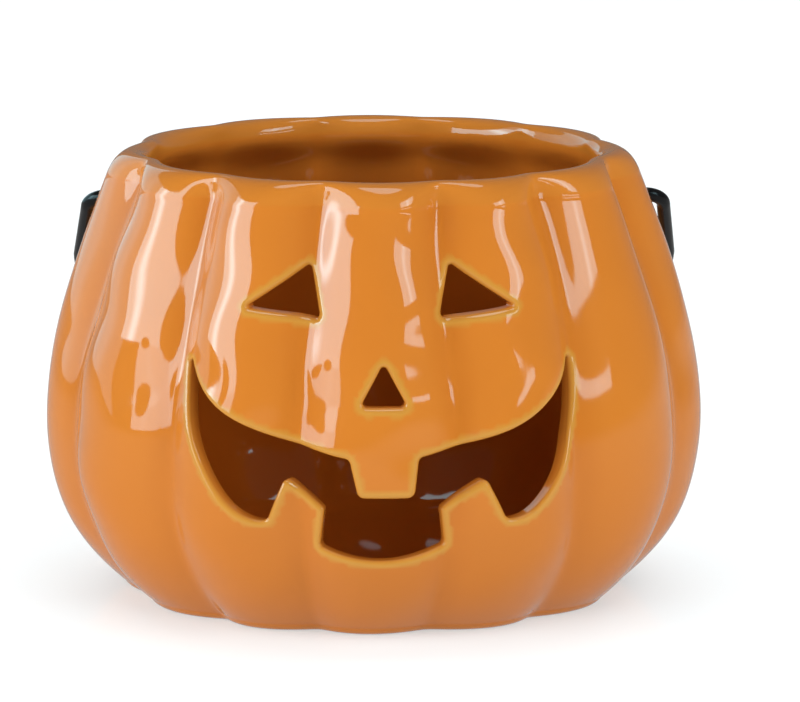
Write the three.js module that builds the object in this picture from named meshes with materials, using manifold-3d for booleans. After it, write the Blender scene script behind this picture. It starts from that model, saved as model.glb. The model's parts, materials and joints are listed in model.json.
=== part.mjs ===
// Open-topped ceramic jack-o'-lantern pail with a swinging wire bail.
// Millimetres, +Z up, face towards -Y, origin on the body's axis where it stands.
import * as THREE from 'three';
import { mergeVertices } from 'three/addons/utils/BufferGeometryUtils.js';
import Module from 'manifold-3d';

const wasm = await Module();
wasm.setup();

// Body: crest radii and heights of the turned profile.
const rimHeight = 111.4;
const footRadius = 62;
const bellyRadius = 83.1;
const bellyHeight = 43;
const shoulderRadius = 67.3;
const shoulderHeight = 105.5;
const openingRadius = 56.4;
const wall = 4.5;
const floorThickness = 5;

// Ribs: angles of the grooves from the middle of the face, the same on both sides.
const grooveAngles = [14, 40, 72, 104, 136, 167];
const stepsPerLobe = 8;
const grooveDepthAtFoot = 3.4;
const grooveDepthAtRim = 6.2;
const grooveSoftness = 0.12;

// Face: outlines are drawn on a band of this radius and cut straight towards the axis.
// They are cut by hand, so the left and right sides differ by about a degree.
const faceRadius = 80;
const cutterInnerRadius = 40;
const cutterOuterRadius = 150;
const cornerRadius = 1.4;

// Bail: round wire, hinged along X through two holes below the rim, a little behind the middle.
// It has play along the hinge, and rests slightly to the right.
const pivotHeight = 98.2;
const pivotBehind = 7;
const pivotHoleRadius = 2.7;
const wireRadius = 1.75;
const wireEnd = 58;
const legOffset = 73.3;
const archRadius = 75.8;
const legLength = 27;
const bendRadius = 5;
const bailShift = 0.8;
const restAngle = 41.6;

// Push-on caps that keep the wire's ends in the wall.
const capRadius = 2.9;
const capInnerFace = 57;
const capOuterFace = 60;
const fitGap = 0.3;

const radians = THREE.MathUtils.degToRad;
const point = (r, z) => new THREE.Vector2(r, z);

// ---------- Body ----------

// All groove angles once round, starting behind the left side of the back.
function grooveRing() {
  const left = grooveAngles.map((angle) => -angle).reverse();
  return [...left, ...grooveAngles];
}

// 0 on a lobe's crest, 1 at the bottom of a groove; phase runs 0 to 1 across a lobe.
function ribDip(phase) {
  const fromGroove = 1 - Math.abs(2 * phase - 1);
  const soft = Math.hypot(fromGroove, grooveSoftness) - grooveSoftness;
  const softCrest = Math.hypot(1, grooveSoftness) - grooveSoftness;
  return (1 - soft / softCrest) ** 2;
}

// Columns of the body's grid: an angle and its rib dip, the same number on every lobe.
function bodyColumns() {
  const grooves = grooveRing();
  const columns = [];
  grooves.forEach((start, i) => {
    const next = i + 1 < grooves.length ? grooves[i + 1] : grooves[0] + 360;
    for (let k = 0; k < stepsPerLobe; k += 1) {
      const phase = k / stepsPerLobe;
      columns.push({ angle: radians(start + (next - start) * phase), dip: ribDip(phase) });
    }
  });
  return columns;
}

// The outside at a lobe's crest, from the foot to the shoulder, as two flowing curves.
function crestCurves() {
  const lower = new THREE.CubicBezierCurve(
    point(footRadius + 1.6, 1.2), point(73, 9), point(bellyRadius, 21), point(bellyRadius, bellyHeight));
  const upper = new THREE.CubicBezierCurve(
    point(bellyRadius, bellyHeight), point(bellyRadius, 65), point(74, 88),
    point(shoulderRadius, shoulderHeight));
  return { lower, upper };
}

// A curve moved inwards by the wall thickness, between two of its parameters.
function innerPoints(curve, from, to, steps) {
  const points = [];
  for (let k = 0; k <= steps; k += 1) {
    const t = from + ((to - from) * k) / steps;
    const p = curve.getPoint(t);
    const along = curve.getTangent(t);
    points.push(point(p.x - along.y * wall, p.y + along.x * wall));
  }
  return points;
}

function grooveDepth(height) {
  return THREE.MathUtils.lerp(grooveDepthAtFoot, grooveDepthAtRim, height / rimHeight);
}

// Stations of the section: a crest point, and how deep the groove is there.
function bodyStations() {
  const { lower, upper } = crestCurves();
  const ribbed = (points) => points.map((p) => ({ p, depth: grooveDepth(p.y) }));
  const outside = [...lower.getPoints(5), ...upper.getPoints(7).slice(1)];
  const lip = [
    { p: point(66.5, 108.7), depth: 5.4 },
    { p: point(64, 110.8), depth: 3.6 },
    { p: point(60.6, rimHeight), depth: 1.2 },
    { p: point(58, 110.6), depth: 0 },
    { p: point(openingRadius, 107.4), depth: 0 },
    { p: point(57.3, 105.2), depth: 0.4 },
    { p: point(60.6, 103), depth: 2.4 },
    { p: point(64.4, 99.6), depth: 4.8 },
  ];
  const inside = [...innerPoints(upper, 0.84, 0, 5), ...innerPoints(lower, 0.8, 0.2, 3)];
  return [
    { p: point(0, 0), depth: 0 },
    { p: point(footRadius, 0), depth: grooveDepthAtFoot },
    ...ribbed(outside),
    ...lip,
    ...ribbed(inside),
    { p: point(60, floorThickness + 0.8), depth: 2.4 },
    { p: point(56, floorThickness), depth: 1 },
    { p: point(0, floorThickness), depth: 0 },
  ];
}

// A lathe grid whose columns are respaced to the lobes and drawn in at the grooves.
function shellGeometry() {
  const stations = bodyStations();
  const columns = bodyColumns();
  const lathe = new THREE.LatheGeometry(stations.map((s) => s.p), columns.length);
  const position = lathe.getAttribute('position');
  for (let i = 0; i <= columns.length; i += 1) {
    const { angle, dip } = columns[i % columns.length];
    stations.forEach(({ p, depth }, j) => {
      const radius = p.x - depth * dip;
      const x = p.x === 0 ? 0 : radius * Math.sin(angle);
      const y = p.x === 0 ? 0 : -radius * Math.cos(angle);
      position.setXYZ(i * stations.length + j, x, y, p.y);
    });
  }
  return lathe;
}

// ---------- Face ----------

// An outline point: degrees round from the middle of the face, and height.
const facePoint = (degrees, height) => point(radians(degrees) * faceRadius, height);

// A closed outline with its corners rounded by the radius that each corner gives.
function roundedOutline(corners) {
  const shape = new THREE.Shape();
  const count = corners.length;
  corners.forEach(({ at, round = cornerRadius, via = [] }, i) => {
    const before = corners[(i + count - 1) % count];
    const after = corners[(i + 1) % count];
    const previous = via.length ? via[via.length - 1] : before.at;
    const following = after.via && after.via.length ? after.via[0] : after.at;
    const entry = at.clone().lerp(previous, round / at.distanceTo(previous));
    const exit = at.clone().lerp(following, round / at.distanceTo(following));
    if (i === 0) shape.moveTo(entry.x, entry.y);
    else if (via.length === 2) shape.bezierCurveTo(via[0].x, via[0].y, via[1].x, via[1].y, entry.x, entry.y);
    else if (via.length === 1) shape.quadraticCurveTo(via[0].x, via[0].y, entry.x, entry.y);
    else shape.lineTo(entry.x, entry.y);
    shape.quadraticCurveTo(at.x, at.y, exit.x, exit.y);
  });
  shape.closePath();
  return shape;
}

// The solid that an outline sweeps towards the body's axis.
function faceCutter(shape) {
  const cutter = new THREE.ExtrudeGeometry(shape, {
    depth: 1, steps: 1, curveSegments: 6, bevelEnabled: false,
  });
  const position = cutter.getAttribute('position');
  for (let i = 0; i < position.count; i += 1) {
    const angle = position.getX(i) / faceRadius;
    const radius = THREE.MathUtils.lerp(cutterInnerRadius, cutterOuterRadius, position.getZ(i));
    position.setXYZ(i, radius * Math.sin(angle), -radius * Math.cos(angle), position.getY(i));
  }
  return cutter;
}

function mouthShape() {
  const at = facePoint;
  return roundedOutline([
    { at: at(-5.5, 47.4) },
    { at: at(-37.7, 69.7), round: 0.8, via: [at(-18.4, 50.3), at(-32, 56.9)] },
    { at: at(-20.3, 31.4), round: 2, via: [at(-36.3, 51), at(-28.2, 31.4)] },
    { at: at(-17, 42.5) },
    { at: at(-10, 35) },
    { at: at(-11, 25.3) },
    { at: at(11.7, 25.3), via: [at(0.4, 19.2)] },
    { at: at(10.5, 34.7) },
    { at: at(18.5, 42) },
    { at: at(22, 31.7), round: 2 },
    { at: at(38.1, 69.6), round: 0.8, via: [at(30.2, 31.4), at(38.2, 51)] },
    { at: at(6.5, 47.5), via: [at(32.8, 57.1), at(19.4, 50.5)] },
    { at: at(5.6, 38), round: 1.8 },
    { at: at(-4, 38), round: 1.8 },
  ]);
}

function eyeShape(side) {
  const corners = [
    { at: facePoint(side * 14.6, 92.5), round: 1 },
    { at: facePoint(side * 11.7, 79.6), round: 1 },
    { at: facePoint(side * 25.9, 82.3), round: 0.8 },
  ];
  return roundedOutline(side < 0 ? corners : corners.reverse());
}

function noseShape() {
  return roundedOutline([
    { at: facePoint(0.4, 70.4), round: 1 },
    { at: facePoint(-3.7, 59.9), round: 1 },
    { at: facePoint(4.5, 59.9), round: 1 },
  ]);
}

function pivotDrill() {
  const drill = new THREE.CylinderGeometry(pivotHoleRadius, pivotHoleRadius, 3 * bellyRadius, 14);
  drill.rotateZ(Math.PI / 2);
  drill.translate(0, pivotBehind, pivotHeight);
  return drill;
}

// ---------- Booleans ----------

function toSolid(geometry) {
  const bare = geometry.clone();
  bare.deleteAttribute('normal');
  bare.deleteAttribute('uv');
  const merged = mergeVertices(bare, 1e-4);
  const corners = merged.getIndex().array;
  const triangles = [];
  for (let i = 0; i < corners.length; i += 3) {
    const [a, b, c] = [corners[i], corners[i + 1], corners[i + 2]];
    if (a !== b && b !== c && c !== a) triangles.push(a, b, c);
  }
  return new wasm.Manifold(new wasm.Mesh({
    numProp: 3,
    vertProperties: new Float32Array(merged.getAttribute('position').array),
    triVerts: new Uint32Array(triangles),
  }));
}

function toGeometry(solid) {
  const mesh = solid.getMesh();
  const geometry = new THREE.BufferGeometry();
  geometry.setAttribute('position', new THREE.BufferAttribute(mesh.vertProperties, 3));
  geometry.setIndex(new THREE.BufferAttribute(mesh.triVerts, 1));
  geometry.computeVertexNormals();
  return geometry;
}

function bodyGeometry() {
  const cuts = [mouthShape(), eyeShape(-1), eyeShape(1), noseShape()].map(faceCutter);
  cuts.push(pivotDrill());
  const shell = toSolid(shellGeometry());
  return toGeometry(cuts.reduce((solid, cut) => solid.subtract(toSolid(cut)), shell));
}

// ---------- Bail ----------

// A quarter turn from one direction to another, as a cubic curve.
function quarterTurn(corner, from, to) {
  const bulge = 0.5523;
  return new THREE.CubicBezierCurve3(
    from, from.clone().lerp(corner, bulge), to.clone().lerp(corner, bulge), to);
}

// The wire's centre line, drawn lying back along +Y from the hinge.
function bailCurve() {
  const at = (x, y) => new THREE.Vector3(x, y, 0);
  const path = new THREE.CurvePath();
  const half = (side) => {
    const inside = at(side * wireEnd, 0);
    const bendStart = at(side * (legOffset - bendRadius), 0);
    const bendEnd = at(side * legOffset, bendRadius);
    const legEnd = at(side * archRadius, legLength);
    const top = at(0, legLength + archRadius);
    return [
      new THREE.LineCurve3(inside, bendStart),
      quarterTurn(at(side * legOffset, 0), bendStart, bendEnd),
      new THREE.LineCurve3(bendEnd, legEnd),
      quarterTurn(at(side * archRadius, legLength + archRadius), legEnd, top),
    ];
  };
  half(-1).forEach((curve) => path.add(curve));
  half(1).reverse().forEach((curve) => {
    const turned = curve.type === 'LineCurve3'
      ? new THREE.LineCurve3(curve.v2, curve.v1)
      : new THREE.CubicBezierCurve3(curve.v3, curve.v2, curve.v1, curve.v0);
    path.add(turned);
  });
  return path;
}

function wireSection() {
  const section = new THREE.Shape();
  const sides = 8;
  for (let k = 0; k < sides; k += 1) {
    const angle = ((k + 0.5) * 2 * Math.PI) / sides;
    const x = wireRadius * Math.cos(angle);
    const y = wireRadius * Math.sin(angle);
    if (k === 0) section.moveTo(x, y);
    else section.lineTo(x, y);
  }
  section.closePath();
  return section;
}

function bailGeometry() {
  return new THREE.ExtrudeGeometry(wireSection(), {
    steps: 120, bevelEnabled: false, extrudePath: bailCurve(),
  });
}

// A small cup over the end of the wire, open towards the wall.
function capGeometry(side) {
  const bore = wireRadius + fitGap;
  const lathe = new THREE.LatheGeometry([
    point(0, capInnerFace - 0.8),
    point(capRadius - 0.9, capInnerFace - 0.4),
    point(capRadius, capInnerFace + 0.6),
    point(capRadius, capOuterFace),
    point(bore, capOuterFace),
    point(bore, wireEnd - fitGap),
    point(0, wireEnd - fitGap),
  ], 12);
  lathe.rotateZ(-Math.PI / 2);
  if (side < 0) lathe.rotateZ(Math.PI);
  return lathe;
}

// ---------- Assembly ----------

const glaze = new THREE.MeshStandardMaterial({ color: '#d5802f', roughness: 0.12, metalness: 0 });
const blackWire = new THREE.MeshStandardMaterial({ color: '#141414', roughness: 0.35, metalness: 0.3 });
const blackCap = new THREE.MeshStandardMaterial({ color: '#1b1b1b', roughness: 0.5, metalness: 0 });

function part(name, geometry, material) {
  const mesh = new THREE.Mesh(geometry, material);
  mesh.name = name;
  return mesh;
}

const pail = new THREE.Group();
pail.add(part('pumpkin_body', bodyGeometry(), glaze));

// The bail and its caps turn together about the two holes, and rest leaning on the back.
const bail = new THREE.Group();
bail.position.set(bailShift, pivotBehind, pivotHeight);
bail.rotation.x = -radians(restAngle);
bail.add(part('bail_handle', bailGeometry(), blackWire));
bail.add(part('left_end_cap', capGeometry(-1), blackCap));
bail.add(part('right_end_cap', capGeometry(1), blackCap));
pail.add(bail);

export default pail;
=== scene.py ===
"""Glazed ceramic jack-o'-lantern pail with a black wire bail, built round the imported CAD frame."""

import json
import math

import bpy
import numpy as np
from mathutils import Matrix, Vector
from mathutils.geometry import delaunay_2d_cdt


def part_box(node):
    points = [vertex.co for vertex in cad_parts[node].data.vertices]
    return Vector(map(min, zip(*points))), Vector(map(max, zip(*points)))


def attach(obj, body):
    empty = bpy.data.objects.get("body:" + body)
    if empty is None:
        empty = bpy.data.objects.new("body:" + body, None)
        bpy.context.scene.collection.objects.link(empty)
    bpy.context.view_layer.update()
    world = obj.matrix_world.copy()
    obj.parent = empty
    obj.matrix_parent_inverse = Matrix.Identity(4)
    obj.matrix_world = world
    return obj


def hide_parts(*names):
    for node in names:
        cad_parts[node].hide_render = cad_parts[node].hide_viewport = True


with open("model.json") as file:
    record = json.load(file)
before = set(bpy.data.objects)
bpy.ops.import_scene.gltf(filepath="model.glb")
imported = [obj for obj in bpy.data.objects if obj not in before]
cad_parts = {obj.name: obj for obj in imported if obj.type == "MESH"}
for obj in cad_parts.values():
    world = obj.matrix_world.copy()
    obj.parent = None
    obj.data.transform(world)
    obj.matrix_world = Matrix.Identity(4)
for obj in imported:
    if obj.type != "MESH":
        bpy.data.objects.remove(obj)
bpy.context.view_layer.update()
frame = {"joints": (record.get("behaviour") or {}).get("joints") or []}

MM = 0.001

# ---------- Sizes from the frame, in millimetres ----------

body_low, body_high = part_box("pumpkin_body")
RIM_HEIGHT = body_high.z / MM
BELLY_RADIUS = body_high.x / MM
HINGE = Vector(frame["joints"][0]["pos_m"]) / MM

# ---------- Body section at a lobe's crest: control points as (radius, height) ----------

WALL = 4.5
FLOOR = 5.0
FOOT_CURVE = [(60.6, 0.0), (62.3, 0.0), (63.2, 0.4), (63.9, 1.5)]
LOWER_CURVE = [(63.9, 1.5), (73.0, 9.0), (BELLY_RADIUS, 21.0), (BELLY_RADIUS, 43.0)]
UPPER_CURVE = [(BELLY_RADIUS, 43.0), (BELLY_RADIUS, 65.0), (74.0, 88.0), (67.3, 105.5)]
LIP_OUTSIDE = [(67.3, 105.5), (66.2, 108.6), (64.0, RIM_HEIGHT), (60.8, RIM_HEIGHT)]
LIP_INSIDE = [(60.8, RIM_HEIGHT), (58.2, RIM_HEIGHT), (56.4, 110.0), (56.4, 107.0)]
FLARE_HEIGHT = 95.5
FLARE_CURVE = [(56.4, 107.0), (56.6, 102.6), (66.2, 101.0), (66.9, FLARE_HEIGHT)]
CROWN_DEPTH = 2.2
RECESS = 1.3
# Rings as (radius, height, groove depth), and the floor's as (radius, rise, groove depth).
UNDERSIDE = [(24, RECESS, 0), (46, RECESS, 0), (48.5, 1.0, 0), (50, 0.1, 0.7), (54, 0, 1.8), (58, 0, 2.9),
             (60.6, 0, 3.6)]
FLOOR_RINGS = [(20, 0, 0), (40, 0, 0.3), (50, 0.1, 0.9), (55, 0.35, 1.4), (59, 1.1, 2.2), (62, 2.3, 2.9)]
INNER_START = 9.0

# ---------- Ribs ----------

# Each groove: its angle from the middle of the face, then how far it leans and sways on its way up.
GROOVES = [
    (-167.0, 0.6, 0.5, 0.2), (-136.0, -0.7, 0.6, 2.1), (-104.0, 0.8, 0.5, 4.0),
    (-72.0, 0.6, 0.7, 1.0), (-40.2, -0.5, 0.6, 2.6), (-14.3, 1.0, 0.5, 0.4),
    (13.0, 1.6, 0.9, 4.4), (38.6, 0.8, 1.0, 1.3), (72.0, -0.4, 0.6, 3.1),
    (104.0, -0.8, 0.5, 5.2), (136.0, 0.7, 0.6, 0.9), (167.0, -0.6, 0.5, 3.7),
]
# The crest of each lobe, in the same order, wanders as a share of the lobe: how far, over what height, and
# the height of one swing to the right.
CRESTS = [
    (0.030, 27.0, 30.0), (0.035, 24.0, 66.0), (0.030, 30.0, 50.0), (0.040, 26.0, 74.0),
    (0.045, 25.0, 64.0), (0.042, 24.0, 84.5), (0.045, 22.5, 89.0), (0.015, 33.0, 70.0),
    (0.035, 27.0, 58.0), (0.030, 25.0, 80.0), (0.035, 29.0, 44.0), (0.030, 26.0, 61.0),
]
GROOVE_DEPTH_FOOT = 3.6
GROOVE_DEPTH_RIM = 6.2
GROOVE_SOFTNESS = 0.12
SWAY_LENGTH = 86.0

# ---------- Face ----------

FACE_RADIUS = 80.0
CORNER = 1.5
EDGE_OUTSIDE = 1.4
EDGE_INSIDE = 0.9
HOLE_RADIUS = 2.7
# The holes run towards the axis, and their middles cross the hinge line half way through the wall.
HOLE_MIDDLE_RADIUS = 65.0
HOLE_ANGLE = 90 + math.degrees(math.asin(HINGE.y / HOLE_MIDDLE_RADIUS))

# ---------- Mesh fineness ----------

COLUMNS = 432
STEP_UP = 1.25
STEP_INSIDE = 2.5
FILLET_STEPS = 5
OUTLINE_STEP = 1.0

RNG = np.random.default_rng(11)

# ---------- Bail, drawn flat from the hinge and then leaned back ----------

WIRE_RADIUS = 1.75
WIRE_SIDES = 24
# Where the full round ends; the eased tip goes 0.4 mm further in, and stops short of the cap's floor.
WIRE_END = 58.4
LEG_OFFSET = 73.3
ARCH_RADIUS = 75.8
LEG_LENGTH = 27.0
BEND_RADIUS = 5.0
BAIL_SHIFT = 0.8
BAIL_REST = 41.6

CAP_SIDES = 40
CAP_INNER_FACE = 57.0
# As (radius, distance out from the inner face), over the outside and then down the bore.
CAP_PROFILE = [
    (0.9, -0.76), (1.7, -0.6), (2.25, -0.25), (2.55, 0.2), (2.6, 0.6), (2.6, 1.2), (2.62, 1.4), (2.7, 1.5),
    (2.72, 1.65), (2.7, 1.85), (2.6, 1.97), (2.45, 2.0), (2.2, 2.0), (2.08, 1.93), (2.05, 1.75), (2.05, 0.85),
    (1.9, 0.75), (0.6, 0.75),
]

# ---------- Glaze and clay colours ----------

GLAZE = (0.58, 0.184, 0.021)
GLAZE_LIGHT = (0.60, 0.196, 0.024)
# Painted shade: a darker copy of the glaze, for the grooves and towards the foot.
GLAZE_SHADE = (0.53, 0.155, 0.015)
GLAZE_THIN = (0.56, 0.260, 0.040)
# Painted shade: a darker copy of the glaze for the inside, away from the rim.
GLAZE_INSIDE_SHADE = (0.43, 0.100, 0.008)
# Heights in metres between which painted shade darkens the glaze towards the foot, and the painted shade inside
# fades out towards the rim.
FOOT_SHADE = (0.055, 0.005)
INSIDE_SHADE = (0.080, 0.100)
CLAY = (0.78, 0.70, 0.60)
CLAY_DARK = (0.66, 0.58, 0.49)

# ---------- Studio ----------

# The floor ends inside the ring of lights, and the background past its edge is as white.
FLOOR_HALF = 1.6
# Strength of the background for soft light, and for what the glaze mirrors in front, behind and below.
AMBIENT = 0.05
MIRRORED_FRONT = 0.05
MIRRORED_BACK = 0.2
MIRRORED_FLOOR = 0.5
AIM = (0.0, 0.0, 0.06)
FILL_DISTANCE = 2.0
# The camera: lens in millimetres, place in metres, and tilt down and turn in degrees.
LENS = 243.25
CAMERA_PLACE = (-0.0306, -1.3497, 0.3034)
CAMERA_TILT = 10.25
CAMERA_TURN = -1.58
# Sheets of cool daylight that only the glaze's reflections show: name, distance, the azimuths and elevations
# they cover, radiance, how much of it is left away from the bright core, and where across them the core is.
DAYLIGHT = (0.56, 0.9, 1.0)
PANELS = [
    ("left_softbox", 0.6, (-94, -44), (8, 35), 13.0, 0.47, 0.3),
    ("left_skirt", 0.6, (-66, -43), (-1, 8), 5.0, 0.9, 0.5),
    ("left_wall", 2.0, (-165, -92), (0, 36), 1.7, 0.8, 0.6),
    ("right_strip", 2.0, (39, 64), (22, 38), 8.5, 0.6, 0.6),
    ("right_patch", 2.0, (39, 62), (10, 13.5), 5.5, 0.9, 0.5),
    ("overhead", 2.0, (-180, 180), (75, 89.5), 3.6, 1.0, 0.5),
]
CORE_WIDTH = 0.18
# A dark card in front of the left softbox: distance, azimuth, elevation, half width and half height in degrees.
CARD = (0.57, -59, 8.5, 5.0, 2.8)
# Soft lights for the surfaces: name, azimuth, elevation, size in metres, radiance.
FILLS = [
    ("top_fill", 40, 48, 2.2, 1.4),
    ("left_fill", -66, 8, 2.2, 3.5),
    ("right_fill", 60, 15, 2.2, 1.55),
    ("front_fill", -10, 12, 2.2, 0.5),
    ("back_fill", 180, 20, 2.2, 0.5),
]
# The floor's own light, cool enough to balance the orange light that the pail throws on it.
BOARD_GLOW = (0.37, 0.43, 0.45)
# Lights of the same kind that only the floor receives.
FLOOR_LIGHTS = [
    ("left_floor_light", -45, 38, 2.0, 1.35),
    ("right_floor_light", 45, 38, 2.0, 0.85),
    ("far_floor_light", 180, 50, 3.0, 2.3),
]


# ---------- Small maths ----------


def bezier(points, t):
    """Points on a cubic curve at the parameters t."""
    p = np.asarray(points, float)
    t = np.asarray(t, float)[:, None]
    s = 1 - t
    return s**3 * p[0] + 3 * s * s * t * p[1] + 3 * s * t * t * p[2] + t**3 * p[3]


def smoothstep(x):
    x = np.clip(x, 0, 1)
    return x * x * (3 - 2 * x)


def unit(v):
    return v / np.maximum(np.linalg.norm(v, axis=-1, keepdims=True), 1e-12)


def place(theta, radius, height):
    """Points at angles theta (degrees from the face's middle), radii and heights."""
    a = np.radians(theta)
    return np.stack([radius * np.sin(a), -radius * np.cos(a), height + 0 * a], -1)


# ---------- Body surfaces as functions of angle and height ----------

CREST = np.vstack([bezier(LOWER_CURVE, np.linspace(0, 1, 200)), bezier(UPPER_CURVE, np.linspace(0, 1, 200))[1:]])


def inner_crest():
    """The inside at a lobe's crest: the outside moved in by the wall, then the flare up to the lip."""
    along = unit(np.gradient(CREST, axis=0))
    inside = CREST + WALL * np.stack([-along[:, 1], along[:, 0]], -1)
    inside = inside[inside[:, 1] < FLARE_HEIGHT - 3]
    flare = bezier(FLARE_CURVE, np.linspace(1, 0, 80))
    return np.vstack([inside, flare])


INNER_CREST = inner_crest()


def lobe_phase(theta, height):
    """Where each point sits across its lobe: 0 at one groove, 1 at the next."""
    turn = 2 * math.pi * height / SWAY_LENGTH
    lift = height / RIM_HEIGHT - 0.5
    paths = [angle + lean * lift + sway * np.sin(turn + start) for angle, lean, sway, start in GROOVES]
    paths = [paths[-1] - 360] + paths + [paths[0] + 360]
    phase = np.zeros_like(theta)
    for k, (left, right) in enumerate(zip(paths[:-1], paths[1:])):
        share, length, top = CRESTS[k - 1]
        across = (theta - left) / (right - left)
        wander = share * np.cos(2 * math.pi * (height - top) / length)
        inside = (across >= 0) & (across < 1)
        phase = np.where(inside, across - wander * 4 * across * (1 - across), phase)
    return phase


def rib_dip(theta, height, softness=GROOVE_SOFTNESS):
    """0 on a lobe's crest, 1 at the bottom of a groove."""
    from_groove = 1 - np.abs(2 * lobe_phase(theta, height) - 1)
    soft = np.hypot(from_groove, softness) - softness
    return (1 - soft / (math.hypot(1, softness) - softness)) ** 2


def groove_depth(height):
    return GROOVE_DEPTH_FOOT + (GROOVE_DEPTH_RIM - GROOVE_DEPTH_FOOT) * height / RIM_HEIGHT


# Gentle hand-finished unevenness of the lobes, as a few long waves round and up the body.
WAVES = [
    (RNG.integers(6, 15), RNG.uniform(26, 55), RNG.uniform(0, 6.28), RNG.uniform(0, 6.28),
     RNG.uniform(0.01, 0.035))
    for _ in range(12)
]


def unevenness(theta, height):
    a = np.radians(theta)
    total = 0 * a
    for turns, length, start, climb, size in WAVES:
        total = total + size * np.sin(turns * a + start) * np.sin(2 * math.pi * height / length + climb)
    return total


def outer_radius(theta, height):
    crest = np.interp(height, CREST[:, 1], CREST[:, 0])
    return crest - groove_depth(height) * rib_dip(theta, height) + unevenness(theta, height)


def inner_radius(theta, height):
    crest = np.interp(height, INNER_CREST[:, 1], INNER_CREST[:, 0])
    fade = 1 - smoothstep((height - FLARE_HEIGHT) / 10.5)
    return crest - 0.95 * groove_depth(height) * fade * rib_dip(theta, height, 0.3)


def surface_normal(radius_of, theta, height, outward):
    """Unit normals of a radius function, by differences over a fraction of a millimetre."""
    dt, dh = 0.15, 0.2
    around = place(theta + dt, radius_of(theta + dt, height), height) - place(
        theta - dt, radius_of(theta - dt, height), height)
    up = place(theta, radius_of(theta, height + dh), height + dh) - place(
        theta, radius_of(theta, height - dh), height - dh)
    return outward * unit(np.cross(around, up))


# ---------- Outlines of what is cut through the wall ----------


def arc_corner(previous, at, following, radius, steps=7):
    """Points of a round corner of the given radius between two straight runs."""
    a, b = unit(previous - at), unit(following - at)
    half = 0.5 * math.acos(float(np.clip(a @ b, -0.9999, 0.9999)))
    reach = radius / math.tan(half)
    centre = at + unit(a + b) * radius / math.sin(half)
    start, end = at + a * reach - centre, at + b * reach - centre
    angle = math.acos(float(np.clip(unit(start) @ unit(end), -1, 1)))
    t = np.linspace(0, 1, steps)[:, None]
    return centre + (np.sin((1 - t) * angle) * start + np.sin(t * angle) * end) / math.sin(angle)


def outline(corners):
    """A closed outline from corners (point, radius, control points of the run before it)."""
    arcs = []
    count = len(corners)
    for i, (at, radius, via) in enumerate(corners):
        before, after = corners[i - 1], corners[(i + 1) % count]
        previous = via[-1] if via else before[0]
        following = after[2][0] if after[2] else after[0]
        arcs.append(arc_corner(np.array(previous), np.array(at), np.array(following), radius))
    points = []
    for i, (_, _, via) in enumerate(corners):
        start, end = arcs[i - 1][-1], arcs[i][0]
        if len(via) == 2:
            run = bezier([start, via[0], via[1], end], np.linspace(0, 1, 60))
        elif len(via) == 1:
            run = bezier([start, start + 2 / 3 * (via[0] - start), end + 2 / 3 * (via[0] - end), end],
                         np.linspace(0, 1, 40))
        else:
            run = np.linspace(start, end, 3)
        points += [spaced(run)[:-1], arcs[i][:-1]]
    return np.vstack([p for p in points if len(p)])


def spaced(run):
    """The same run with its points about OUTLINE_STEP apart."""
    along = np.r_[0, np.cumsum(np.linalg.norm(np.diff(run, axis=0), axis=1))]
    count = max(1, round(along[-1] / OUTLINE_STEP))
    at = np.linspace(0, along[-1], count + 1)
    return np.stack([np.interp(at, along, run[:, k]) for k in (0, 1)], -1)


def on_face(degrees, height):
    return np.array([math.radians(degrees) * FACE_RADIUS, height])


def mouth_outline():
    at = on_face
    return outline([
        (at(-5.5, 47.4), 1.4, []),
        (at(-37.7, 69.7), 0.5, [at(-18.4, 50.3), at(-32.0, 56.9)]),
        (at(-20.3, 31.4), 2.0, [at(-36.3, 51.0), at(-28.2, 31.4)]),
        (at(-17.0, 42.5), CORNER, []),
        (at(-10.0, 35.0), CORNER, []),
        (at(-11.0, 25.3), 1.4, []),
        (at(11.7, 25.3), 1.4, [at(0.4, 19.2)]),
        (at(10.5, 34.7), CORNER, []),
        (at(18.5, 42.0), CORNER, []),
        (at(22.0, 31.7), 2.0, []),
        (at(38.1, 69.6), 0.5, [at(30.2, 31.4), at(38.2, 51.0)]),
        (at(6.5, 47.5), 1.4, [at(32.8, 57.1), at(19.4, 50.5)]),
        (at(5.6, 38.0), 1.8, []),
        (at(-4.0, 38.0), 1.8, []),
    ])


def eye_outline(side):
    corners = [
        (on_face(side * 14.6, 92.5), 0.9, []),
        (on_face(side * 11.7, 79.6), 1.1, []),
        (on_face(side * 25.9, 82.3), 0.5, []),
    ]
    return outline(corners if side < 0 else corners[::-1])


def nose_outline():
    return outline([
        (on_face(0.4, 70.4), 0.9, []),
        (on_face(-3.7, 59.9), 1.0, []),
        (on_face(4.5, 59.9), 1.0, []),
    ])


def round_outline(degrees, height, radius):
    centre = on_face(degrees, height)
    turn = np.linspace(0, 2 * math.pi, 28, endpoint=False)
    return centre + radius * np.stack([np.cos(turn) * FACE_RADIUS / outer_radius(
        np.array([degrees]), np.array([height])), np.sin(turn)], -1)


# ---------- Building the body's mesh ----------


class Builder:
    """Collects vertices with their normals and paint, and faces."""

    def __init__(self):
        self.points, self.normals, self.paint, self.faces, self.count = [], [], [], [], 0

    def add(self, points, normals, paint):
        """Adds vertices and returns their numbers. paint is (edge, groove, inside) for each."""
        first = self.count
        points = np.asarray(points).reshape(-1, 3)
        self.points.append(points)
        self.normals.append(np.asarray(normals).reshape(-1, 3))
        self.paint.append(np.broadcast_to(paint, (len(points), 3)) if np.ndim(paint) == 1 else paint)
        self.count += len(points)
        return np.arange(first, self.count)

    def strip(self, lower, upper, closed=True):
        """Quads between two rows of vertices."""
        a, b = np.asarray(lower), np.asarray(upper)
        a2, b2 = np.roll(a, -1), np.roll(b, -1)
        quads = np.stack([a, a2, b2, b], -1)
        self.faces += [tuple(q) for q in (quads if closed else quads[:-1]).tolist()]


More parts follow.
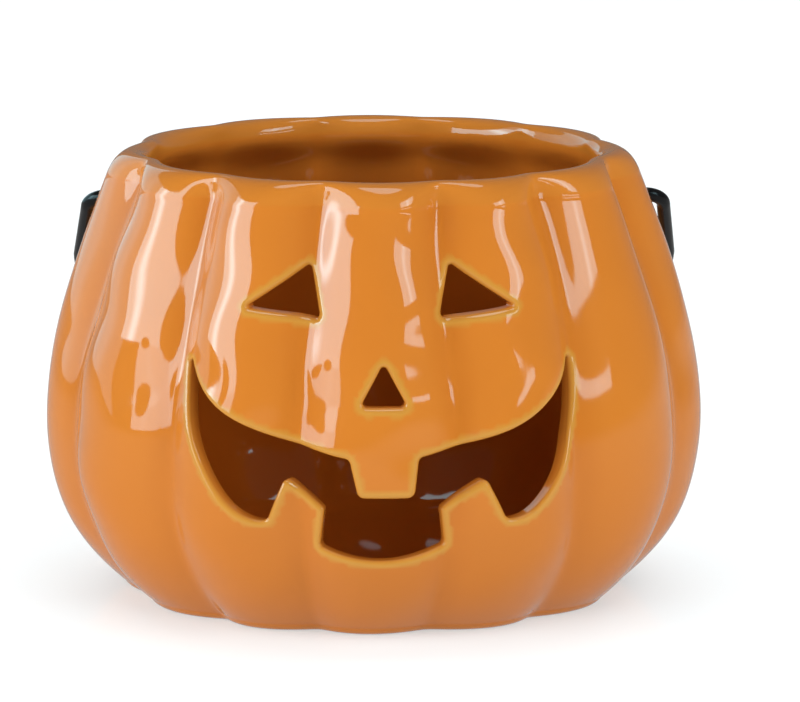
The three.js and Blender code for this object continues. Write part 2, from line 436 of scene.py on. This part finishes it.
def signed_area(loop):
    x, y = loop[:, 0], loop[:, 1]
    return 0.5 * float(np.sum(x * np.roll(y, -1) - y * np.roll(x, -1)))


def inside_loop(points, loop):
    """Which points lie inside a closed loop."""
    x, y = points[:, :1], points[:, 1:]
    x1, y1 = loop[:, 0], loop[:, 1]
    x2, y2 = np.roll(x1, -1), np.roll(y1, -1)
    crosses = (y1 > y) != (y2 > y)
    at = x1 + (y - y1) * (x2 - x1) / np.where(y2 == y1, 1e-9, y2 - y1)
    return (np.sum(crosses & (x < at), axis=1) % 2) == 1


def nearest(points, loop):
    """Distance of each point from a loop's points."""
    gaps = np.linalg.norm(points[:, None] - loop[None], axis=2)
    return gaps.min(axis=1)


def loop_normals(loop):
    """Unit directions out of the hole, into the ceramic, for a counter-clockwise loop."""
    before, after = unit(loop - np.roll(loop, 1, 0)), unit(np.roll(loop, -1, 0) - loop)
    along = unit(before + after)
    return np.stack([along[:, 1], -along[:, 0]], -1)


def to_angles(plane):
    return np.degrees(plane[:, 0] / FACE_RADIUS), plane[:, 1]


def stretched(theta, height, radius_of):
    """Outline units per true millimetre round the body."""
    return FACE_RADIUS / radius_of(theta, height)


def offset_loop(loop, distance, radius_of):
    out = loop_normals(loop)
    theta, height = to_angles(loop)
    moved = loop + out * distance
    moved[:, 0] = loop[:, 0] + out[:, 0] * distance * stretched(theta, height, radius_of)
    return moved


def fillet_rows(builder, loop, radius_of, sign, edge, zone):
    """Rows of vertices from a surface down round the edge of a hole onto its wall."""
    theta0, height0 = to_angles(loop)
    into = loop_normals(loop)
    tangent = np.stack([np.cos(np.radians(theta0)), np.sin(np.radians(theta0)), 0 * theta0], -1)
    facing_hole = -(into[:, :1] * tangent + into[:, 1:] * np.array([0, 0, 1.0]))
    rows = []
    for k in range(FILLET_STEPS + 1):
        turn = math.pi / 2 * k / FILLET_STEPS
        plane = offset_loop(loop, edge * (1 - math.sin(turn)), radius_of)
        theta, height = to_angles(plane)
        radius = radius_of(theta, height) - sign * edge * (1 - math.cos(turn))
        surface = surface_normal(radius_of, theta, height, sign)
        normals = unit(math.cos(turn) * surface + math.sin(turn) * facing_hole)
        dip = rib_dip(theta, height)
        thin = math.cos(0.75 * turn) ** 2 if sign > 0 else 0.2
        paint = np.stack([thin + 0 * dip, dip, zone + 0 * dip], -1)
        rows.append(builder.add(place(theta, radius, height), normals, paint))
    return rows, facing_hole


def hole_walls(builder, loops):
    """Edges and walls of the holes; returns the outer and the inner rims of each hole."""
    rims = []
    for loop in loops:
        outer, facing = fillet_rows(builder, loop, outer_radius, 1, EDGE_OUTSIDE, 0.0)
        inner, _ = fillet_rows(builder, loop, inner_radius, -1, EDGE_INSIDE, 1.0)
        theta, height = to_angles(loop)
        top = outer_radius(theta, height) - EDGE_OUTSIDE
        bottom = inner_radius(theta, height) + EDGE_INSIDE
        rows = list(outer)
        for share in (0.33, 0.67):
            points = place(theta, top + (bottom - top) * share, height)
            paint = np.stack([0.1 + 0 * theta, 0 * theta, share + 0 * theta], -1)
            rows.append(builder.add(points, facing, paint))
        rows += list(inner[::-1])
        for nearer, deeper in zip(rows[:-1], rows[1:]):
            builder.strip(nearer, deeper)
        rims.append((outer[0], inner[0]))
    return rims


def panel(builder, grid, thetas, heights, columns, rows, loops, rims, radius_of, edge, sign):
    """Fills a rectangle of the grid round its holes with triangles, and stitches it to the grid."""
    plane = np.stack(np.meshgrid(np.radians(thetas[columns]) * FACE_RADIUS, heights[rows], indexing="ij"), -1)
    numbers = grid[np.ix_(columns, rows)]
    spacing = min(abs(plane[1, 0, 0] - plane[0, 0, 0]), abs(plane[0, 1, 1] - plane[0, 0, 1]))
    flat = plane.reshape(-1, 2)
    flat_numbers = numbers.reshape(-1)
    keep = np.ones(len(flat), bool)
    rims_plane = [offset_loop(loop, edge, radius_of) for loop in loops]
    for rim in rims_plane:
        keep &= ~inside_loop(flat, rim) & (nearest(flat, rim) > 0.62 * spacing)
    nc, nr = numbers.shape
    border = [(i, 0) for i in range(nc - 1)] + [(nc - 1, j) for j in range(nr - 1)]
    border += [(i, nr - 1) for i in range(nc - 1, 0, -1)] + [(0, j) for j in range(nr - 1, 0, -1)]
    where = {}
    coordinates, vertex_numbers = [], []
    for index in np.flatnonzero(keep):
        where[index] = len(coordinates)
        coordinates.append(Vector(flat[index]))
        vertex_numbers.append(int(flat_numbers[index]))
    border = [where[i * nr + j] for i, j in border]
    edges = list(zip(border, border[1:] + border[:1]))
    for rim_plane, rim in zip(rims_plane, rims):
        first = len(coordinates)
        coordinates += [Vector(p) for p in rim_plane]
        vertex_numbers += [int(n) for n in rim]
        ring = list(range(first, len(coordinates)))
        edges += list(zip(ring, ring[1:] + ring[:1]))
    found, _, faces, origins, _, _ = delaunay_2d_cdt(coordinates, edges, [], 0, 1e-6)
    if len(found) != len(coordinates):
        raise ValueError("the panel's outlines cross each other")
    number = [vertex_numbers[o[0]] for o in origins]
    middles = np.array([np.mean([found[v] for v in face], axis=0) for face in faces])
    solid = np.ones(len(faces), bool)
    for rim in rims_plane:
        solid &= ~inside_loop(middles, rim)
    for face, good in zip(faces, solid):
        if good:
            corners = [number[v] for v in face]
            builder.faces.append(tuple(corners if sign > 0 else corners[::-1]))


def surface_grid(builder, thetas, heights, radius_of, sign, inside):
    """A grid of vertices on one of the body's radius functions."""
    theta, height = np.meshgrid(thetas, heights, indexing="ij")
    theta, height = theta.ravel(), height.ravel()
    points = place(theta, radius_of(theta, height), height)
    normals = surface_normal(radius_of, theta, height, sign)
    dip = rib_dip(theta, height)
    paint = np.stack([0 * dip, dip, inside + 0 * dip], -1)
    return builder.add(points, normals, paint).reshape(len(thetas), len(heights))


def grid_faces(builder, grid, sign, panels):
    """Quads over a closed grid, leaving out the rectangles given as (columns, rows)."""
    skip = set()
    for columns, rows in panels:
        skip |= {(i, j) for i in columns[:-1] for j in rows[:-1]}
    around = len(grid)
    for i in range(around):
        for j in range(grid.shape[1] - 1):
            if (i, j) not in skip:
                k = (i + 1) % around
                quad = (grid[i, j], grid[k, j], grid[k, j + 1], grid[i, j + 1])
                builder.faces.append(tuple(int(v) for v in (quad if sign > 0 else quad[::-1])))


def ring(thetas, radius, height, depth):
    """One ring of points round the body, drawn in by depth at the grooves."""
    full = height + 0 * thetas
    share = depth / GROOVE_DEPTH_RIM
    return place(thetas, radius - depth * rib_dip(thetas, full) + share * unevenness(thetas, full), full)


def curve_rings(thetas, curve, steps, depths, paint):
    """Rings along a curve of the section, ends left out, with grooves going from one depth to another."""
    t = np.linspace(0, 1, steps + 1)[1:-1]
    section = bezier(curve, t)
    depth = depths[0] + (depths[1] - depths[0]) * smoothstep(t)
    return [(ring(thetas, r, z, d), paint) for (r, z), d in zip(section, depth)]


def ring_normals(rings, before, after, sign):
    """Normals of a stack of rings by central differences, with the rows before and after it."""
    stack = [before] + [points for points, _ in rings] + [after]
    normals = []
    for k in range(1, len(stack) - 1):
        around = np.roll(stack[k], -1, 0) - np.roll(stack[k], 1, 0)
        normals.append(sign * unit(np.cross(around, stack[k + 1] - stack[k - 1])))
    return normals


def pick(values, low, high):
    """The run of grid lines that covers low to high."""
    first = int(np.searchsorted(values, low)) - 1
    last = int(np.searchsorted(values, high))
    return np.arange(first, last + 1)


def level_heights(low, high, crest, step):
    """Heights from low to high, about one step apart along the section."""
    keep = (crest[:, 1] >= low) & (crest[:, 1] <= high)
    run = crest[keep]
    along = np.r_[0, np.cumsum(np.linalg.norm(np.diff(run, axis=0), axis=1))]
    at = np.linspace(0, along[-1], round(along[-1] / step) + 1)
    heights = np.interp(at, along, run[:, 1])
    heights[0], heights[-1] = low, high
    return heights


def add_rings(builder, rings, before, after_numbers, sign):
    """Adds rings that end at a row of the grid. before is a row of vertices, or the middle point of a disc."""
    on_disc = len(before) == 1
    known = np.vstack(builder.points)
    first = np.tile(before, (COLUMNS, 1)) if on_disc else known[before]
    rows = [] if on_disc else [before]
    for (points, paint), normals in zip(rings, ring_normals(rings, first, known[after_numbers], sign)):
        rows.append(builder.add(points, normals, paint))
    rows.append(after_numbers)
    for lower, upper in zip(rows[:-1], rows[1:]):
        builder.strip(*((lower, upper) if sign > 0 else (upper, lower)))
    if on_disc:
        middle = int(builder.add(before, [[0, 0, -sign]], rings[0][1])[0])
        for a, b in zip(rows[0], np.roll(rows[0], -1)):
            builder.faces.append((middle, int(b), int(a)) if sign > 0 else (middle, int(a), int(b)))


def build_lip(builder, thetas, outer, inner):
    """The rounded rim, lobed outside and a plain circle inside."""
    shoulder = groove_depth(LIP_OUTSIDE[0][1])
    crown = (ring(thetas, *LIP_OUTSIDE[-1], CROWN_DEPTH), (0.3, 0, 0))
    rings = curve_rings(thetas, LIP_OUTSIDE, 9, (shoulder, CROWN_DEPTH), (0.15, 0, 0)) + [crown]
    rings += curve_rings(thetas, LIP_INSIDE, 8, (CROWN_DEPTH, 0.0), (0.25, 0, 0.3))
    add_rings(builder, rings, outer[:, -1], inner[:, -1], 1)


def build_underside(builder, thetas, outer):
    """The bare foot it stands on, round a shallow recess."""
    rings = [(ring(thetas, radius, height, depth), (0, 0, 2)) for radius, height, depth in UNDERSIDE]
    rings += curve_rings(thetas, FOOT_CURVE, 6, (GROOVE_DEPTH_FOOT, GROOVE_DEPTH_FOOT), (0.1, 0, 0))
    add_rings(builder, rings, [[0, 0, RECESS]], outer[:, 0], 1)


def build_floor(builder, thetas, inner):
    """The inside's floor, dished up into the wall."""
    rings = [(ring(thetas, radius, FLOOR + rise, depth), (0, 0, 1)) for radius, rise, depth in FLOOR_RINGS]
    add_rings(builder, rings, [[0, 0, FLOOR]], inner[:, 0], -1)


def build_body():
    """The whole ceramic shell as one closed mesh."""
    builder = Builder()
    thetas = -180 + 360 / COLUMNS * np.arange(COLUMNS)
    outer_heights = level_heights(FOOT_CURVE[-1][1], LIP_OUTSIDE[0][1], CREST, STEP_UP)
    inner_heights = level_heights(INNER_START, LIP_INSIDE[-1][1], INNER_CREST, STEP_INSIDE)
    outer = surface_grid(builder, thetas, outer_heights, outer_radius, 1, 0.0)
    inner = surface_grid(builder, thetas, inner_heights, inner_radius, -1, 1.0)

    face_loops = [mouth_outline(), eye_outline(-1), eye_outline(1), nose_outline()]
    zones = [((-42, 42), (17, 98), face_loops)]
    for side in (-1, 1):
        middle = side * HOLE_ANGLE
        hole = round_outline(middle, HINGE.z, HOLE_RADIUS)
        zones.append(((middle - 6, middle + 6), (HINGE.z - 5, HINGE.z + 5), [hole]))
    panels = {1: [], -1: []}
    for (west, east), (low, high), loops in zones:
        loops = [loop if signed_area(loop) > 0 else loop[::-1] for loop in loops]
        rims = hole_walls(builder, loops)
        columns = pick(thetas, west, east)
        for sign, heights, grid, radius_of, edge in (
            (1, outer_heights, outer, outer_radius, EDGE_OUTSIDE),
            (-1, inner_heights, inner, inner_radius, EDGE_INSIDE),
        ):
            rows = pick(heights, low, high)
            stitched = [outside if sign > 0 else inside for outside, inside in rims]
            panel(builder, grid, thetas, heights, columns, rows, loops, stitched, radius_of, edge, sign)
            panels[sign].append((columns, rows))
    grid_faces(builder, outer, 1, panels[1])
    grid_faces(builder, inner, -1, panels[-1])
    build_lip(builder, thetas, outer, inner)
    build_underside(builder, thetas, outer)
    build_floor(builder, thetas, inner)
    return builder


def to_object(name, builder):
    """The builder's faces as an object, without the grid's vertices that the holes left unused."""
    used = np.unique([vertex for face in builder.faces for vertex in face])
    number = np.zeros(builder.count, int)
    number[used] = np.arange(len(used))
    faces = [number[list(face)].tolist() for face in builder.faces]
    points, normals, paint = (np.vstack(rows)[used] for rows in (builder.points, builder.normals, builder.paint))
    mesh = bpy.data.meshes.new(name)
    mesh.from_pydata((points * MM).tolist(), [], faces)
    mesh.update()
    colours = mesh.color_attributes.new("paint", "FLOAT_COLOR", "POINT")
    colours.data.foreach_set("color", np.c_[paint, np.ones(len(paint))].ravel())
    mesh.polygons.foreach_set("use_smooth", [True] * len(mesh.polygons))
    mesh.normals_split_custom_set_from_vertices(normals.tolist())
    return link(name, mesh)


# ---------- Bail and its end caps ----------


def quarter_turn(corner, start, end, steps):
    """A quarter of a round bend between two points."""
    bulge = 0.5523
    return bezier([start, start + (corner - start) * bulge, end + (corner - end) * bulge, end],
                  np.linspace(0, 1, steps + 1))


def bail_line():
    """The wire's centre line from end to end, in the bail's own plane: across, and out from the hinge."""
    corner, top_corner = np.array([LEG_OFFSET, 0.0]), np.array([ARCH_RADIUS, LEG_LENGTH + ARCH_RADIUS])
    inner_end, bend_start = corner - [LEG_OFFSET - WIRE_END, 0], corner - [BEND_RADIUS, 0]
    bend_end, leg_end = corner + [0, BEND_RADIUS], top_corner - [0, ARCH_RADIUS]
    half = np.vstack([
        np.linspace(inner_end, bend_start, 9)[:-1],
        quarter_turn(corner, bend_start, bend_end, 14)[:-1],
        np.linspace(bend_end, leg_end, 13)[:-1],
        quarter_turn(top_corner, leg_end, top_corner - [ARCH_RADIUS, 0], 64),
    ])
    return np.vstack([half, half[::-1][1:] * [-1, 1]])


def lean_back(points):
    """Points of the bail's own plane, with their distance off it, turned back about the hinge."""
    across, out, off = np.moveaxis(np.asarray(points, float), -1, 0)
    lean = math.radians(BAIL_REST)
    y = out * math.cos(lean) + off * math.sin(lean)
    z = off * math.cos(lean) - out * math.sin(lean)
    return np.stack([across + BAIL_SHIFT, y, z], -1) + np.array(HINGE)


def rings_to_object(name, rings):
    """A closed smooth body from rings of points, each end closed to its ring's middle."""
    count = len(rings[0])
    points = np.vstack(rings + [rings[0].mean(0)[None], rings[-1].mean(0)[None]]) * MM
    turn = np.arange(count)
    after = np.roll(turn, -1)
    faces = []
    for k in range(len(rings) - 1):
        low, high = k * count, (k + 1) * count
        faces += np.stack([turn + low, after + low, after + high, turn + high], -1).tolist()
    first, last = len(points) - 2, len(points) - 1
    top = (len(rings) - 1) * count
    faces += [(first, int(b), int(a)) for a, b in zip(turn, after)]
    faces += [(last, int(a) + top, int(b) + top) for a, b in zip(turn, after)]
    mesh = bpy.data.meshes.new(name)
    mesh.from_pydata(points.tolist(), [], faces)
    mesh.polygons.foreach_set("use_smooth", [True] * len(mesh.polygons))
    mesh.update()
    return link(name, mesh)


def build_bail():
    """Round wire swept along its centre line, with its cut ends eased."""
    line = bail_line()
    along = unit(np.gradient(line, axis=0))
    radii = np.full(len(line), WIRE_RADIUS)
    for shrink, reach in ((0.92, 0.2), (0.75, 0.38), (0.4, 0.5)):
        line = np.vstack([line[0] - along[0] * 0.2, line, line[-1] + along[-1] * 0.2])
        along = np.vstack([along[:1], along, along[-1:]])
        radii = np.r_[shrink * WIRE_RADIUS, radii, shrink * WIRE_RADIUS]
        line[0], line[-1] = line[1] - along[0] * reach * 0.4, line[-2] + along[-1] * reach * 0.4
    side = np.stack([along[:, 1], -along[:, 0]], -1)
    turn = np.linspace(0, 2 * math.pi, WIRE_SIDES, endpoint=False)
    rings = []
    for at, across, radius in zip(line, side, radii):
        flat = at + radius * np.cos(turn)[:, None] * across
        rings.append(lean_back(np.c_[flat, radius * np.sin(turn)]))
    return rings_to_object("bail_wire", rings)


def build_cap(side):
    """A push-on cap over the wire's end, with a small bead round the mouth that faces the wall."""
    turn = side * np.linspace(0, 2 * math.pi, CAP_SIDES, endpoint=False)
    rings = []
    for radius, reach in CAP_PROFILE:
        across = BAIL_SHIFT + side * (CAP_INNER_FACE + reach) + 0 * turn
        rings.append(np.c_[across, HINGE.y + radius * np.cos(turn), HINGE.z + radius * np.sin(turn)])
    return rings_to_object("left_cap" if side < 0 else "right_cap", rings)


# ---------- Materials ----------


class Nodes:
    """Short hand for adding shader nodes to a material."""

    def __init__(self, name):
        self.material = bpy.data.materials.new(name)
        self.material.use_nodes = True
        self.tree = self.material.node_tree
        self.shader = self.tree.nodes["Principled BSDF"]

    def add(self, kind, **settings):
        node = self.tree.nodes.new(kind)
        for key, value in settings.items():
            if key in node.inputs:
                node.inputs[key].default_value = value
            else:
                setattr(node, key, value)
        return node

    def join(self, output, entry):
        self.tree.links.new(output, entry)

    def noise(self, scale, detail=2.0):
        """Noise in the object's own space, with its scale in waves per metre."""
        noise = self.add("ShaderNodeTexNoise", Scale=scale, Detail=detail)
        self.join(self.add("ShaderNodeTexCoord").outputs["Object"], noise.inputs["Vector"])
        return noise.outputs["Fac"]

    def ramp(self, source, low, high, to_low, to_high):
        """The source's range low..high stretched to to_low..to_high."""
        node = self.add("ShaderNodeMapRange")
        self.join(source, node.inputs["Value"])
        for key, value in zip(("From Min", "From Max", "To Min", "To Max"), (low, high, to_low, to_high)):
            node.inputs[key].default_value = value
        return node.outputs["Result"]

    def blend(self, share, first, second):
        """A colour mix; first and second are colours or outputs."""
        node = self.add("ShaderNodeMix", data_type="RGBA")
        self.join(share, node.inputs["Factor"])
        for entry, value in ((node.inputs[6], first), (node.inputs[7], second)):
            if isinstance(value, tuple):
                entry.default_value = (*value, 1)
            else:
                self.join(value, entry)
        return node.outputs[2]

    def bump(self, source, height, normal=None):
        """Bump of a height in metres, from a source between 0 and 1."""
        node = self.add("ShaderNodeBump", Strength=1.0, Distance=height)
        self.join(source, node.inputs["Height"])
        if normal:
            self.join(normal, node.inputs["Normal"])
        return node.outputs["Normal"]


def glaze_material():
    """Orange glaze on a cream clay: even on the lobes, thin and paler on cut edges, bare under the foot; painted
    shade darkens it in the grooves, towards the foot and inside.
    """
    m = Nodes("orange_glaze")
    paint = m.add("ShaderNodeVertexColor", layer_name="paint")
    split = m.add("ShaderNodeSeparateColor")
    m.join(paint.outputs["Color"], split.inputs["Color"])
    edge, groove, zone = (split.outputs[k] for k in ("Red", "Green", "Blue"))
    cloud = m.ramp(m.noise(28.0, 3.0), 0.3, 0.7, 0.0, 1.0)
    glaze = m.blend(cloud, GLAZE, GLAZE_LIGHT)
    # Painted shade: the glaze is darker down in the grooves, where shade falls.
    groove_shade = m.ramp(groove, 0.55, 1.0, 0.0, 0.5)
    glaze = m.blend(groove_shade, glaze, GLAZE_SHADE)
    place_on_body = m.add("ShaderNodeSeparateXYZ")
    m.join(m.add("ShaderNodeTexCoord").outputs["Object"], place_on_body.inputs["Vector"])
    # Painted shade: the glaze darkens towards the foot.
    painted_foot_shade = m.ramp(place_on_body.outputs["Z"], *FOOT_SHADE, 0.0, 0.9)
    glaze = m.blend(painted_foot_shade, glaze, GLAZE_SHADE)
    # Painted shade: the inside is darker, fading out towards the rim where light reaches it.
    inside = m.add("ShaderNodeMath", operation="MULTIPLY")
    m.join(m.ramp(zone, 0.2, 0.9, 0.0, 1.0), inside.inputs[0])
    m.join(m.ramp(place_on_body.outputs["Z"], *INSIDE_SHADE, 1.0, 0.0), inside.inputs[1])
    glaze = m.blend(inside.outputs[0], glaze, GLAZE_INSIDE_SHADE)
    grain = m.noise(900.0, 3.0)
    glaze = m.blend(edge, glaze, GLAZE_THIN)
    bare = m.ramp(zone, 1.2, 1.8, 0.0, 1.0)
    clay = m.blend(grain, CLAY, CLAY_DARK)
    m.join(m.blend(bare, glaze, clay), m.shader.inputs["Base Color"])
    m.join(m.ramp(bare, 0.0, 1.0, 0.06, 0.75), m.shader.inputs["Roughness"])
    ripple = m.bump(m.noise(70.0, 1.0), 0.00007)
    m.join(m.bump(m.noise(450.0, 1.0), 0.000002, ripple), m.shader.inputs["Normal"])
    m.shader.inputs["IOR"].default_value = 1.52
    return m.material


def wire_material():
    """Black baked coat on the wire: glossy, with faint streaks of unevenness."""
    m = Nodes("black_wire")
    m.join(m.blend(m.noise(300.0), (0.003, 0.003, 0.0035), (0.006, 0.006, 0.0065)), m.shader.inputs["Base Color"])
    m.join(m.ramp(m.noise(500.0, 4.0), 0.3, 0.7, 0.16, 0.26), m.shader.inputs["Roughness"])
    m.join(m.bump(m.noise(900.0, 3.0), 0.00002), m.shader.inputs["Normal"])
    m.shader.inputs["Specular IOR Level"].default_value = 0.25
    return m.material


def cap_material():
    """Soft black moulded plastic."""
    m = Nodes("black_cap")
    m.join(m.blend(m.noise(700.0), (0.012, 0.012, 0.012), (0.02, 0.02, 0.021)), m.shader.inputs["Base Color"])
    m.join(m.ramp(m.noise(1500.0), 0.3, 0.7, 0.42, 0.55), m.shader.inputs["Roughness"])
    m.join(m.bump(m.noise(2500.0), 0.00003), m.shader.inputs["Normal"])
    return m.material


def floor_material():
    """White studio board that glows faintly, so that the pail's shadow on it stays light."""
    m = Nodes("white_board")
    m.join(m.blend(m.noise(3.0), (0.50, 0.50, 0.50), (0.52, 0.52, 0.52)), m.shader.inputs["Base Color"])
    m.shader.inputs["Roughness"].default_value = 0.15
    m.shader.inputs["Specular IOR Level"].default_value = 0.06
    m.shader.inputs["Emission Color"].default_value = (*BOARD_GLOW, 1)
    m.shader.inputs["Emission Strength"].default_value = 1.0
    return m.material


# ---------- Studio ----------


def add_floor():
    mesh = bpy.data.meshes.new("studio_floor")
    half = FLOOR_HALF
    mesh.from_pydata([(-half, -half, 0), (half, -half, 0), (half, half, 0), (-half, half, 0)], [], [(0, 1, 2, 3)])
    floor = link("studio_floor", mesh)
    mesh.materials.append(floor_material())
    floor.visible_glossy = False
    return floor


def direction(azimuth, elevation):
    """Towards a place round the pail. Azimuth 0 is the face's side and 90 is +X."""
    turn, rise = math.radians(azimuth), math.radians(elevation)
    return Vector((math.sin(turn) * math.cos(rise), -math.cos(turn) * math.cos(rise), math.sin(rise)))


def only_in_reflections(piece):
    piece.visible_camera = piece.visible_diffuse = piece.visible_shadow = False


def curved_panel(name, azimuths, elevations, distance):
    """A sheet round the pail over a range of azimuths and elevations, with UVs from 0 to 1."""
    columns, rows = 24, 12
    points, faces = [], []
    for i in range(columns + 1):
        for j in range(rows + 1):
            azimuth = azimuths[0] + (azimuths[1] - azimuths[0]) * i / columns
            elevation = elevations[0] + (elevations[1] - elevations[0]) * j / rows
            points.append(Vector(AIM) + direction(azimuth, elevation) * distance)
    for i in range(columns):
        for j in range(rows):
            at = i * (rows + 1) + j
            faces.append((at, at + 1, at + rows + 2, at + rows + 1))
    mesh = bpy.data.meshes.new(name)
    mesh.from_pydata(points, [], faces)
    places = mesh.uv_layers.new(name="across").data
    for loop in mesh.loops:
        i, j = divmod(loop.vertex_index, rows + 1)
        places[loop.index].uv = (i / columns, j / rows)
    return link(name, mesh)


def panel_light(name, distance, azimuths, elevations, radiance, edge_share, core):
    """A glowing sheet that only the glaze's reflections show, brighter along an upright core."""
    sheet = curved_panel(name, azimuths, elevations, distance)
    m = Nodes(name)
    m.tree.nodes.remove(m.shader)
    glow = m.add("ShaderNodeEmission", Color=(*DAYLIGHT, 1))
    split = m.add("ShaderNodeSeparateXYZ")
    m.join(m.add("ShaderNodeUVMap", uv_map="across").outputs["UV"], split.inputs["Vector"])
    off_core = m.add("ShaderNodeMath", operation="SUBTRACT")
    off_core.inputs[1].default_value = core
    m.join(split.outputs["X"], off_core.inputs[0])
    spread = m.add("ShaderNodeMath", operation="ABSOLUTE")
    m.join(off_core.outputs[0], spread.inputs[0])
    fall = m.add("ShaderNodeMapRange", interpolation_type="SMOOTHSTEP")
    m.join(spread.outputs[0], fall.inputs["Value"])
    for key, value in (("From Max", CORE_WIDTH), ("To Min", radiance), ("To Max", radiance * edge_share)):
        fall.inputs[key].default_value = value
    m.join(fall.outputs["Result"], glow.inputs["Strength"])
    m.join(glow.outputs[0], m.tree.nodes["Material Output"].inputs["Surface"])
    sheet.data.materials.append(m.material)
    only_in_reflections(sheet)


def dark_card(distance, azimuth, elevation, half_width, half_height):
    """An oval of dark card in front of the left softbox."""
    middle = Vector(AIM) + direction(azimuth, elevation) * distance
    sides = 48
    points = []
    for k in range(sides):
        turn = 2 * math.pi * k / sides
        at = direction(azimuth + half_width * math.cos(turn), elevation + half_height * math.sin(turn))
        points.append(Vector(AIM) + at * distance)
    mesh = bpy.data.meshes.new("dark_card")
    mesh.from_pydata([middle] + points, [], [(0, k + 1, (k + 1) % sides + 1) for k in range(sides)])
    card = link("dark_card", mesh)
    m = Nodes("dark_card")
    m.shader.inputs["Base Color"].default_value = (0.01, 0.01, 0.01, 1)
    m.shader.inputs["Roughness"].default_value = 1.0
    m.shader.inputs["Specular IOR Level"].default_value = 0.0
    mesh.materials.append(m.material)
    only_in_reflections(card)


def fill_light(name, azimuth, elevation, size, radiance, only=None):
    """A soft square light that lights surfaces and shows in no reflection."""
    light = bpy.data.lights.new(name, "AREA")
    light.size = size
    light.energy = radiance * math.pi * size**2
    lamp = bpy.data.objects.new(name, light)
    towards = direction(azimuth, elevation)
    lamp.location = Vector(AIM) + towards * FILL_DISTANCE
    lamp.rotation_euler = towards.to_track_quat("Z", "Y").to_euler()
    lamp.visible_camera = lamp.visible_glossy = False
    bpy.context.scene.collection.objects.link(lamp)
    if only:
        receivers = bpy.data.collections.new(name + "_receivers")
        receivers.objects.link(only)
        lamp.light_linking.receiver_collection = receivers


def add_world():
    """White behind the pail. What the glaze mirrors is dark in front, and lighter behind and below."""
    world = bpy.data.worlds.new("studio")
    bpy.context.scene.world = world
    world.use_nodes = True
    tree = world.node_tree
    rays = tree.nodes.new("ShaderNodeLightPath")

    def between(share, low, high, low_from=0.0, high_from=1.0):
        node = tree.nodes.new("ShaderNodeMapRange")
        tree.links.new(share, node.inputs["Value"])
        node.inputs["From Min"].default_value, node.inputs["From Max"].default_value = low_from, high_from
        for key, value in (("To Min", low), ("To Max", high)):
            if isinstance(value, float):
                node.inputs[key].default_value = value
            else:
                tree.links.new(value, node.inputs[key])
        return node.outputs["Result"]

    split = tree.nodes.new("ShaderNodeSeparateXYZ")
    tree.links.new(tree.nodes.new("ShaderNodeTexCoord").outputs["Generated"], split.inputs["Vector"])
    mirrored = between(split.outputs["Y"], MIRRORED_FRONT, MIRRORED_BACK, -0.3, 0.7)
    mirrored = between(split.outputs["Z"], MIRRORED_FLOOR, mirrored, -0.1, 0.0)
    around = between(rays.outputs["Is Glossy Ray"], AMBIENT, mirrored)
    strength = between(rays.outputs["Is Camera Ray"], around, 1.0)
    background = tree.nodes["Background"]
    background.inputs["Color"].default_value = (1, 1, 1, 1)
    tree.links.new(strength, background.inputs["Strength"])


def add_camera():
    """The camera: straight on to the face, looking down by ten degrees from just left of the middle."""
    data = bpy.data.cameras.new("camera")
    data.lens = LENS
    data.clip_start, data.clip_end = 0.05, 20
    camera = bpy.data.objects.new("camera", data)
    camera.location = CAMERA_PLACE
    camera.rotation_euler = (math.radians(90 - CAMERA_TILT), 0, math.radians(CAMERA_TURN))
    bpy.context.scene.collection.objects.link(camera)
    bpy.context.scene.camera = camera


def link(name, mesh):
    piece = bpy.data.objects.new(name, mesh)
    bpy.context.scene.collection.objects.link(piece)
    return piece


# ---------- Scene ----------

body = to_object("glazed_body", build_body())
body.data.materials.append(glaze_material())
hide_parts("pumpkin_body")
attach(body, "body")

bail = build_bail()
bail.data.materials.append(wire_material())
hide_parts("bail_handle")
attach(bail, "bail")

cap_finish = cap_material()
for side, node in ((-1, "left_end_cap"), (1, "right_end_cap")):
    cap = build_cap(side)
    cap.data.materials.append(cap_finish)
    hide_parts(node)
    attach(cap, "bail")

floor = add_floor()
add_world()
add_camera()
for settings in PANELS:
    panel_light(*settings)
dark_card(*CARD)
for settings in FILLS:
    fill_light(*settings)
for settings in FLOOR_LIGHTS:
    fill_light(*settings, only=floor)
bpy.context.scene.view_settings.view_transform = "Standard"
